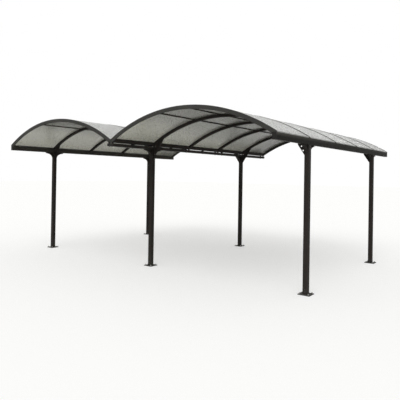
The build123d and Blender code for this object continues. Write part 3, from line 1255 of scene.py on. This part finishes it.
class CARPORT_OT_strip_screws(bpy.types.Operator):
    """Screw the cover strips down through sealing washers"""

    bl_idname = "carport.strip_screws"
    bl_label = "Strip screws"

    def screw(self):
        """Model of a round-headed screw on its washer, standing up at the origin."""
        washer = bevelled_disc(SMALL_ROUND_SIDES, base=0, steps=1, **STRIP_WASHER)
        head = bevelled_disc(STRIP_HEAD_SIDES, base=STRIP_WASHER["depth"] - NEAR, **STRIP_HEAD)
        model = join([washer, head], "strip_screw_model")
        smooth(model)
        return model

    def execute(self, context):
        model = self.screw()
        count = sizes().strip_screws
        for name in VAULTS:
            vault = Vault(name)
            sweep = vault.last_lean - vault.first_lean
            places = []
            for rib in RIBS:
                for number in range(count):
                    lean = vault.first_lean + sweep * (number + 0.5) / count
                    places.append(vault.place(lean, vault.strip_top, middle_y(f"{name}_{rib}")))
            fit(set_copies(model, places, f"{name}_strip_screws"), frame_coat())
        drop(model)
        return {"FINISHED"}


class CARPORT_OT_strip_seals(bpy.types.Operator):
    """Lay a rubber bead along both edges of each cover strip"""

    bl_idname = "carport.strip_seals"
    bl_label = "Strip seals"

    def bead(self, vault, y):
        """Bead over the sheets at a place along the vault, spun from one edge to the other."""
        radius = sizes().bead_radius
        start_model()
        bpy.ops.mesh.primitive_circle_add(
            vertices=SEAL_SIDES,
            radius=radius,
            fill_type="NGON",
            location=vault.place(vault.first_lean, vault.sheet_top + radius, y).translation,
            rotation=(0, QUARTER_TURN + vault.first_lean, 0),
        )
        bead = bpy.context.object
        apply_place(bead)
        bpy.ops.object.mode_set(mode="EDIT")
        bpy.ops.mesh.select_all(action="SELECT")
        bpy.ops.mesh.spin(
            steps=SEAL_STEPS,
            angle=vault.first_lean - vault.last_lean,
            center=(vault.middle, 0, vault.axis_height),
            axis=(0, 1, 0),
        )
        bpy.ops.mesh.select_all(action="SELECT")
        bpy.ops.mesh.remove_doubles(threshold=NEAR)
        bpy.ops.mesh.normals_make_consistent(inside=False)
        leave_edit()
        return bead

    def execute(self, context):
        size = sizes()
        offset = size.strip_width / 2 + size.bead_radius
        for name in VAULTS:
            vault = Vault(name)
            beads = []
            for rib in RIBS:
                middle = middle_y(f"{name}_{rib}")
                beads += [self.bead(vault, middle + side * offset) for side in (-1, 1)]
            piece = join(beads, f"{name}_strip_seals")
            smooth(piece, SEAL_SMOOTH_ANGLE)
            fit(piece, rubber())
        return {"FINISHED"}


class CARPORT_OT_edge_trims(bpy.types.Operator):
    """Close the eave and valley edges of the sheets with channels"""

    bl_idname = "carport.edge_trims"
    bl_label = "Edge trims"

    def channel(self, length):
        """Channel along Y, open towards -X, with its mouth at the origin."""
        size = sizes()
        height = size.sheet_thickness + 2 * size.trim_wall
        slot_depth = size.trim_depth - size.trim_wall
        start_model()
        bpy.ops.mesh.primitive_cube_add(size=1, location=(size.trim_depth / 2, 0, 0))
        trim = bpy.context.object
        trim.scale = (size.trim_depth, length, height)
        apply_place(trim)
        select_faces(trim, lambda centre, normal: normal.x < -FACES_STRAIGHT)
        bpy.ops.mesh.inset(thickness=size.trim_wall - NEAR)
        bpy.ops.mesh.extrude_region_move(TRANSFORM_OT_translate={"value": (slot_depth, 0, 0)})
        leave_edit()
        select_edges(trim, lambda point: point.x > size.trim_depth - NEAR)
        bpy.ops.mesh.bevel(offset=TRIM_BEVEL_SHARE * size.trim_wall, segments=2, affect="EDGES")
        leave_edit()
        return trim

    def add_drip(self, trim, lean):
        """Hang a lip from the closed edge of a channel, upright once the channel leans."""
        size = sizes()
        lip_start = size.trim_depth - LIP_WALLS * size.trim_wall
        bottom = -size.sheet_thickness / 2 - size.trim_wall
        fall = (size.drip_drop * math.sin(lean), 0, -size.drip_drop * math.cos(lean))
        bpy.ops.object.mode_set(mode="EDIT")
        bpy.ops.mesh.select_all(action="SELECT")
        bpy.ops.mesh.bisect(plane_co=(lip_start, 0, 0), plane_no=(1, 0, 0))
        leave_edit()
        select_faces(
            trim, lambda centre, normal: centre.x > lip_start and centre.z < bottom + NEAR
        )
        bpy.ops.mesh.extrude_region_move(TRANSFORM_OT_translate={"value": fall})
        leave_edit()

    def execute(self, context):
        size = sizes()
        overlap = size.trim_depth - 2 * size.trim_wall
        for name in VAULTS:
            vault = Vault(name)
            radius = vault.sheet_top - size.sheet_thickness / 2
            inset = overlap / radius
            for edge in ("eave", "valley"):
                last = (edge == "eave") == (vault.side > 0)
                lean = vault.last_lean - inset if last else vault.first_lean + inset
                turn = Matrix.Rotation(0 if last else math.pi, 4, "Z")
                trims = []
                for start, stop in bay_lengths(name, TRIM_PLAY):
                    trim = self.channel(stop - start)
                    if edge == "eave":
                        self.add_drip(trim, abs(lean))
                    trim.matrix_world = vault.place(lean, radius, (start + stop) / 2) @ turn
                    trims.append(trim)
                bpy.context.view_layer.update()
                finish = eave_trim() if edge == "eave" else sheet_with_painted_light()
                fit(join(trims, f"{name}_{edge}_trims"), finish)
        return {"FINISHED"}


class CARPORT_OT_stage(bpy.types.Operator):
    """Lay the floor and set the light and the camera"""

    bl_idname = "carport.stage"
    bl_label = "Stage"

    def floor(self, stage):
        """Pale floor that keeps the shadow and is near white to the camera."""
        start_model()
        bpy.ops.mesh.primitive_plane_add(size=FLOOR_SIZE, location=(0, 0, -FLOOR_DROP))
        floor = bpy.context.object
        floor.name = "floor"
        apply_place(floor)
        material = bpy.data.materials.new("pale_floor")
        material.use_nodes = True
        tree = material.node_tree
        tree.nodes.clear()
        matt = tree.nodes.new("ShaderNodeBsdfDiffuse")
        matt.inputs["Color"].default_value = (*stage.floor_colour, 1)
        glow = tree.nodes.new("ShaderNodeEmission")
        both = tree.nodes.new("ShaderNodeAddShader")
        output = tree.nodes.new("ShaderNodeOutputMaterial")
        seen = self.seen_share(tree, stage.floor_glow_share)
        tree.links.new(seen, glow.inputs["Strength"])
        tree.links.new(matt.outputs["BSDF"], both.inputs[0])
        tree.links.new(glow.outputs["Emission"], both.inputs[1])
        tree.links.new(both.outputs["Shader"], output.inputs["Surface"])
        floor.data.materials.append(material)

    def seen_share(self, tree, strength):
        """Strength for rays from the camera, gloss and clear sheets, and zero for the rest."""
        path = tree.nodes.new("ShaderNodeLightPath")
        share = path.outputs["Is Camera Ray"]
        for kind in ("Is Glossy Ray", "Is Transmission Ray"):
            most = tree.nodes.new("ShaderNodeMath")
            most.operation = "MAXIMUM"
            tree.links.new(share, most.inputs[0])
            tree.links.new(path.outputs[kind], most.inputs[1])
            share = most.outputs["Value"]
        times = tree.nodes.new("ShaderNodeMath")
        times.operation = "MULTIPLY"
        times.inputs[1].default_value = strength
        tree.links.new(share, times.inputs[0])
        return times.outputs["Value"]

    def sky(self, stage):
        """Even light from all round, seen as white."""
        world = bpy.data.worlds.new("studio")
        bpy.context.scene.world = world
        world.use_nodes = True
        tree = world.node_tree
        background = tree.nodes["Background"]
        background.inputs["Color"].default_value = (1, 1, 1, 1)
        seen = self.seen_share(tree, 1 - stage.sky_light)
        total = tree.nodes.new("ShaderNodeMath")
        total.operation = "ADD"
        total.inputs[1].default_value = stage.sky_light
        tree.links.new(seen, total.inputs[0])
        tree.links.new(total.outputs["Value"], background.inputs["Strength"])

    def sun(self, stage):
        """Soft key light from the front, high up."""
        start_model()
        bpy.ops.object.light_add(type="SUN", location=SUN_PLACE)
        sun = bpy.context.object
        sun.data.energy = stage.sun_light
        sun.data.angle = SUN_SPREAD
        sun.rotation_euler = (SUN_TILT, 0, SUN_TURN)

    def camera(self, stage):
        """Camera at the photograph's place and angle."""
        start_model()
        bpy.ops.object.camera_add(location=stage.camera_place)
        camera = bpy.context.object
        upright = Matrix.Rotation(QUARTER_TURN + stage.camera_pitch, 4, "X")
        turn = Matrix.Rotation(stage.camera_yaw, 4, "Z")
        lean = Matrix.Rotation(stage.camera_roll, 4, "Z")
        place = Matrix.Translation(stage.camera_place)
        camera.matrix_world = place @ turn @ upright @ lean
        camera.data.sensor_width = SENSOR_WIDTH
        camera.data.lens = stage.focal_share * camera.data.sensor_width
        camera.data.shift_x = stage.shift_shares[0]
        camera.data.shift_y = stage.shift_shares[1]
        bpy.context.scene.camera = camera

    def execute(self, context):
        stage = context.scene.carport_stage
        context.scene.view_settings.view_transform = "Standard"
        self.floor(stage)
        self.sky(stage)
        self.sun(stage)
        self.camera(stage)
        return {"FINISHED"}


OPERATORS = (
    CARPORT_OT_frame_coats,
    CARPORT_OT_roof_sheets,
    CARPORT_OT_anchors,
    CARPORT_OT_post_screws,
    CARPORT_OT_head_bolts,
    CARPORT_OT_knee_plugs,
    CARPORT_OT_rail_bolts,
    CARPORT_OT_ridge_purlins,
    CARPORT_OT_strip_screws,
    CARPORT_OT_strip_seals,
    CARPORT_OT_edge_trims,
    CARPORT_OT_stage,
)


class CARPORT_PT_tools(bpy.types.Panel):
    """Sizes, colours and steps of the carport"""

    bl_idname = "CARPORT_PT_tools"
    bl_label = "Carport"
    bl_space_type = "VIEW_3D"
    bl_region_type = "UI"
    bl_category = "Carport"

    def draw(self, context):
        layout = self.layout
        for group in ("carport_sizes", "carport_colours", "carport_stage"):
            settings = getattr(context.scene, group)
            column = layout.box().column()
            for key in settings.__annotations__:
                column.prop(settings, key)
        for operator in OPERATORS:
            layout.operator(operator.bl_idname)


CLASSES = (CarportSizes, CarportColours, CarportStage, *OPERATORS, CARPORT_PT_tools)


def register():
    for cls in CLASSES:
        bpy.utils.register_class(cls)
    bpy.types.Scene.carport_sizes = PointerProperty(type=CarportSizes)
    bpy.types.Scene.carport_colours = PointerProperty(type=CarportColours)
    bpy.types.Scene.carport_stage = PointerProperty(type=CarportStage)


def unregister():
    del bpy.types.Scene.carport_stage
    del bpy.types.Scene.carport_colours
    del bpy.types.Scene.carport_sizes
    for cls in reversed(CLASSES):
        bpy.utils.unregister_class(cls)


def main():
    register()
    bpy.ops.carport.frame_coats()
    bpy.ops.carport.roof_sheets()
    bpy.ops.carport.anchors()
    bpy.ops.carport.post_screws()
    bpy.ops.carport.head_bolts()
    bpy.ops.carport.knee_plugs()
    bpy.ops.carport.rail_bolts()
    bpy.ops.carport.ridge_purlins()
    bpy.ops.carport.strip_screws()
    bpy.ops.carport.strip_seals()
    bpy.ops.carport.edge_trims()
    bpy.ops.carport.stage()


if __name__ == "__main__":
    main()
